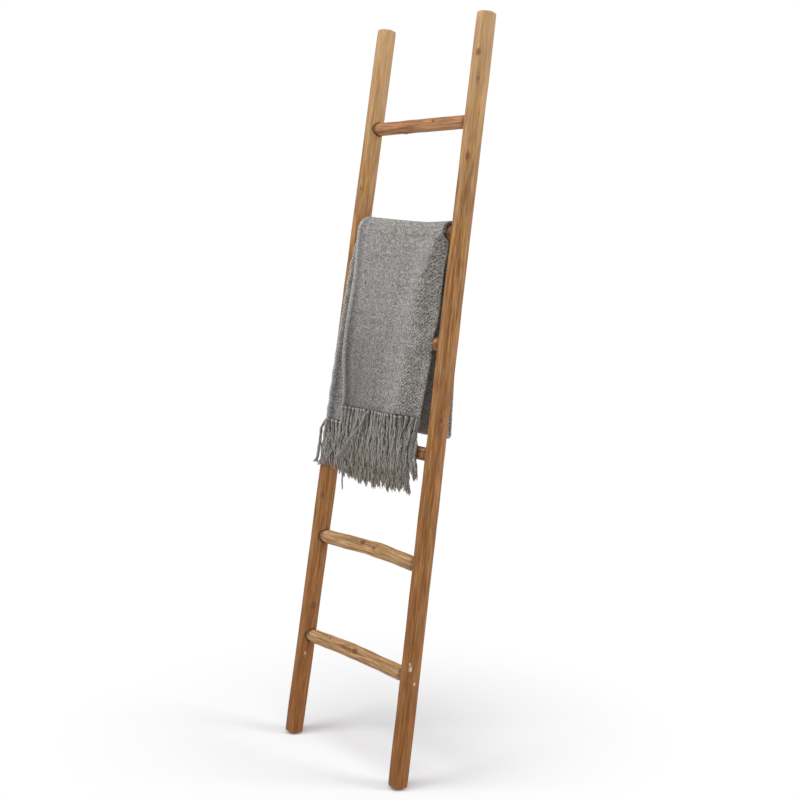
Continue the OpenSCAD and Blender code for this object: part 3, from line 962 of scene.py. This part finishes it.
def yarn_mesh(name, node, lines, tint, along, t, draw):
    """All yarns and knots of a fringe in one mesh: four-sided tubes along lines, and a ball per knot."""
    strands, rings = lines.shape[:2]
    ahead = np.gradient(lines, axis=1)
    ahead /= np.linalg.norm(ahead, axis=-1, keepdims=True)
    side = np.cross(ahead, np.array([0.0, 1.0, 0.2]))
    side /= np.linalg.norm(side, axis=-1, keepdims=True)
    other = np.cross(ahead, side)
    thick = yarn_radius * (1 - 0.25 * along ** 3) * (0.85 + 0.3 * draw.random((strands, 1)))
    thick[:, 0], thick[:, -1] = thick[:, 0] * 0.6, thick[:, -1] * 0.35
    corner = np.arange(4) * np.pi / 2 + 0.5
    tube = (lines[:, :, None] + thick[..., None, None] * (np.cos(corner)[:, None] * side[:, :, None]
                                                          + np.sin(corner)[:, None] * other[:, :, None]))
    index = np.arange(strands * rings * 4).reshape(strands, rings, 4)
    after = np.roll(index, -1, axis=2)
    quads = np.stack([index[:, :-1], index[:, 1:], after[:, 1:], after[:, :-1]], axis=-1).reshape(-1, 4)
    lids = np.concatenate([index[:, 0], index[:, -1, ::-1]])

    centre = on_ladder(t["x"], t["front"] + 0.0014, t["height"] - 0.0046)
    ring, turn = np.meshgrid(np.linspace(0.15, np.pi - 0.15, knot_rings), np.arange(knot_sides) * np.pi / 3,
                             indexing="ij")
    ball = np.stack([np.sin(ring) * np.cos(turn), np.sin(ring) * np.sin(turn), 0.8 * np.cos(ring)], axis=-1)
    knots = centre[:, None, None] + knot_radius * ball * draw.uniform(0.8, 1.12, (len(centre), 1, 1, 1))
    first = strands * rings * 4
    knot_points = knot_rings * knot_sides
    knot_index = first + np.arange(len(centre) * knot_points).reshape(len(centre), knot_rings, knot_sides)
    knot_after = np.roll(knot_index, -1, axis=2)
    knot_quads = np.stack([knot_index[:, :-1], knot_index[:, 1:], knot_after[:, 1:], knot_after[:, :-1]],
                          axis=-1).reshape(-1, 4)
    faces = (quads.tolist() + lids.tolist() + knot_quads.tolist() + knot_index[:, 0].tolist()
             + knot_index[:, -1, ::-1].tolist())
    piece = mesh_piece(name, np.concatenate([tube.reshape(-1, 3), knots.reshape(-1, 3)]), faces)
    yarn = np.stack(np.broadcast_arrays(tint[..., None], along[..., None], 0 * corner), axis=-1)
    own = np.repeat(draw.random(len(centre)), knot_points)
    knot_yarn = np.stack([own, own * 0, own * 0 + 1], axis=-1)
    add_vectors(piece, "yarn", np.concatenate([yarn.reshape(-1, 3), knot_yarn]))
    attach(piece, "throw")
    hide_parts(node)
    return piece


def end_fronts(points):
    """The end row's distance from the rungs' plane as functions of x, one for each of the four layers."""
    end = points[0] - foot
    x, front = end[:, 0], end @ to_front
    made = {}
    for depth, begin in layer_starts.items():
        stop = begin + (shown if depth == 0 else hidden)
        order = np.argsort(x[begin:stop])
        made[depth] = (x[begin:stop][order], front[begin:stop][order])
    return made


rest_height = rung_heights[3]
rest_front = 0.0186
rest_step = 0.0017
draw = np.random.default_rng(12)
outer_ends, under_ends = end_fronts(outer_front), end_fronts(under_front)
outer_rows = [
    tassel_row_places(last_layer - depth, outer_left(outer_end), outer_right(outer_end), outer_end,
                      lambda x, depth=depth: np.interp(x, *outer_ends[depth]), draw)
    for depth in range(4)]
under_rows = [
    tassel_row_places(depth, under_left(inner_end), under_right(inner_end), inner_end,
                      lambda x, depth=depth: np.interp(x, *under_ends[depth]), draw)
    for depth in range(4)]

thrown_across = [(-0.025, 0.040, 0.850), (-0.032, 0.044, 0.820), (-0.051, 0.045, 0.798),
                 (-0.070, 0.044, 0.776), (-0.091, 0.042, 0.748), (-0.108, 0.040, 0.730)]
over_the_rail = [(-0.183, 0.034, 0.812), (-0.197, 0.034, 0.790), (-0.196, 0.033, 0.758),
                 (-0.200, 0.031, 0.719), (-0.206, 0.031, 0.700)]
lone_yarn = [(-0.100, 0.034, 0.730), (-0.096, 0.032, 0.697), (-0.098, 0.029, 0.670), (-0.097, 0.027, 0.648)]
outer_strays = np.concatenate([strays(5, 0.0026, thrown_across, 5), strays(1, 0.0, lone_yarn, 6)])
fringe_outer = fringe("fringe_outer_tassels", "fringe_outer", outer_rows, outer_strays, 41)
inner_strays = strays(4, 0.0024, over_the_rail, 7)
fringe_inner = fringe("fringe_inner_tassels", "fringe_inner", under_rows, inner_strays, 43)


def yarn_finish():
    """Crimped yarn: greys that differ from yarn to yarn, browner and paler at the frayed tips."""
    material, tree, shader = new_material("fringe yarn, greige")
    own, share, is_knot = xyz(tree, attribute(tree, "yarn"))
    place = add_node(tree, "ShaderNodeTexCoord").outputs["Object"]
    twist = noise(tree, place, (420, 420, 260), 2.0, 0.6)
    colour = mixed(tree, own, srgb(78, 74, 69), srgb(142, 138, 132))
    colour = mixed(tree, times(tree, stretched(tree, twist, 0.42, 0.68), 0.55), colour, srgb(184, 180, 173))
    colour = mixed(tree, times(tree, is_knot, 0.5), colour, srgb(196, 192, 186))
    tip = stretched(tree, share, 0.55, 1.0)
    colour = mixed(tree, times(tree, tip, 0.45), colour, srgb(146, 131, 117))
    tree.links.new(colour, shader.inputs["Base Color"])
    shader.inputs["Roughness"].default_value = 0.9
    shader.inputs["Specular IOR Level"].default_value = 0.2
    shader.inputs["Sheen Weight"].default_value = 0.2
    bumped(tree, shader, twist, 0.7, 0.0008)
    return material


fringe_yarn = yarn_finish()
for piece in (fringe_outer, fringe_inner):
    piece.data.materials.append(fringe_yarn)


# ---------------------------------------------------------------- The studio
# A wide pale floor that fades to the air's white, near-white light from all round, three large soft lamps,
# and the camera.
def studio_floor():
    """A square floor as one face, in pale matt paint that fades to the air's white away from the object."""
    half = 40.0
    mesh = bpy.data.meshes.new("studio_floor")
    corners = [(-half, -half, 0), (half, -half, 0), (half, half, 0), (-half, half, 0)]
    mesh.from_pydata(corners, [], [(0, 1, 2, 3)])
    floor = bpy.data.objects.new("studio_floor", mesh)
    bpy.context.scene.collection.objects.link(floor)
    material, tree, shader = new_material("studio floor, pale")
    mottle = noise(tree, add_node(tree, "ShaderNodeTexCoord").outputs["Object"], (3, 3, 3))
    paint = mixed(tree, mottle, (0.86, 0.86, 0.87, 1), (0.89, 0.89, 0.90, 1))
    tree.links.new(paint, shader.inputs["Base Color"])
    shader.inputs["Roughness"].default_value = 0.9
    shader.inputs["Specular IOR Level"].default_value = 0.1
    far = add_node(tree, "ShaderNodeVectorMath", {0: add_node(tree, "ShaderNodeTexCoord").outputs["Object"]},
                   operation="LENGTH").outputs["Value"]
    white = add_node(tree, "ShaderNodeEmission", {"Color": (0.99, 0.99, 1.0, 1), "Strength": 1.02})
    faded = add_node(tree, "ShaderNodeMixShader", {0: stretched(tree, far, 0.1, 1.0)})
    tree.links.new(shader.outputs[0], faded.inputs[1])
    tree.links.new(white.outputs[0], faded.inputs[2])
    tree.links.new(faded.outputs[0], tree.nodes["Material Output"].inputs["Surface"])
    mesh.materials.append(material)


def soft_lamp(name, place, target, size, power):
    """A square lamp at a place, turned so that it shines at the target."""
    data = bpy.data.lights.new(name, "AREA")
    data.shape, data.size, data.energy = "SQUARE", size, power
    lamp = bpy.data.objects.new(name, data)
    lamp.location = place
    lamp.rotation_euler = (Vector(target) - Vector(place)).to_track_quat("-Z", "Y").to_euler()
    bpy.context.scene.collection.objects.link(lamp)


studio_floor()
soft_lamp("key lamp", (-1.1, -2.1, 2.9), (0, 0.15, 1.1), 1.6, 52)
soft_lamp("top lamp", (0.2, -0.2, 3.4), (0, 0.15, 1.1), 1.4, 30)
soft_lamp("side lamp", (2.4, 1.7, 1.9), (0, 0.15, 1.3), 1.2, 44)
world = bpy.data.worlds.new("studio air")
bpy.context.scene.world = world
world.use_nodes = True
air = world.node_tree
seen = add_node(air, "ShaderNodeLightPath").outputs["Is Camera Ray"]
strength = maths(air, "ADD", maths(air, "MULTIPLY", seen, 0.57), 0.45)
air.links.new(strength, air.nodes["Background"].inputs["Strength"])
air.nodes["Background"].inputs["Color"].default_value = (0.99, 0.99, 1.0, 1)

camera = bpy.data.objects.new("camera", bpy.data.cameras.new("camera"))
camera.data.lens, camera.data.sensor_width = 51.75, 36
camera.location = (2.0756, -1.7013, 1.2992)
aim = Vector((0.0425, 0.1294, 0.8810)) - camera.location
camera.rotation_euler = aim.to_track_quat("-Z", "Y").to_euler()
bpy.context.scene.collection.objects.link(camera)
bpy.context.scene.camera = camera
bpy.context.scene.view_settings.view_transform = "Standard"
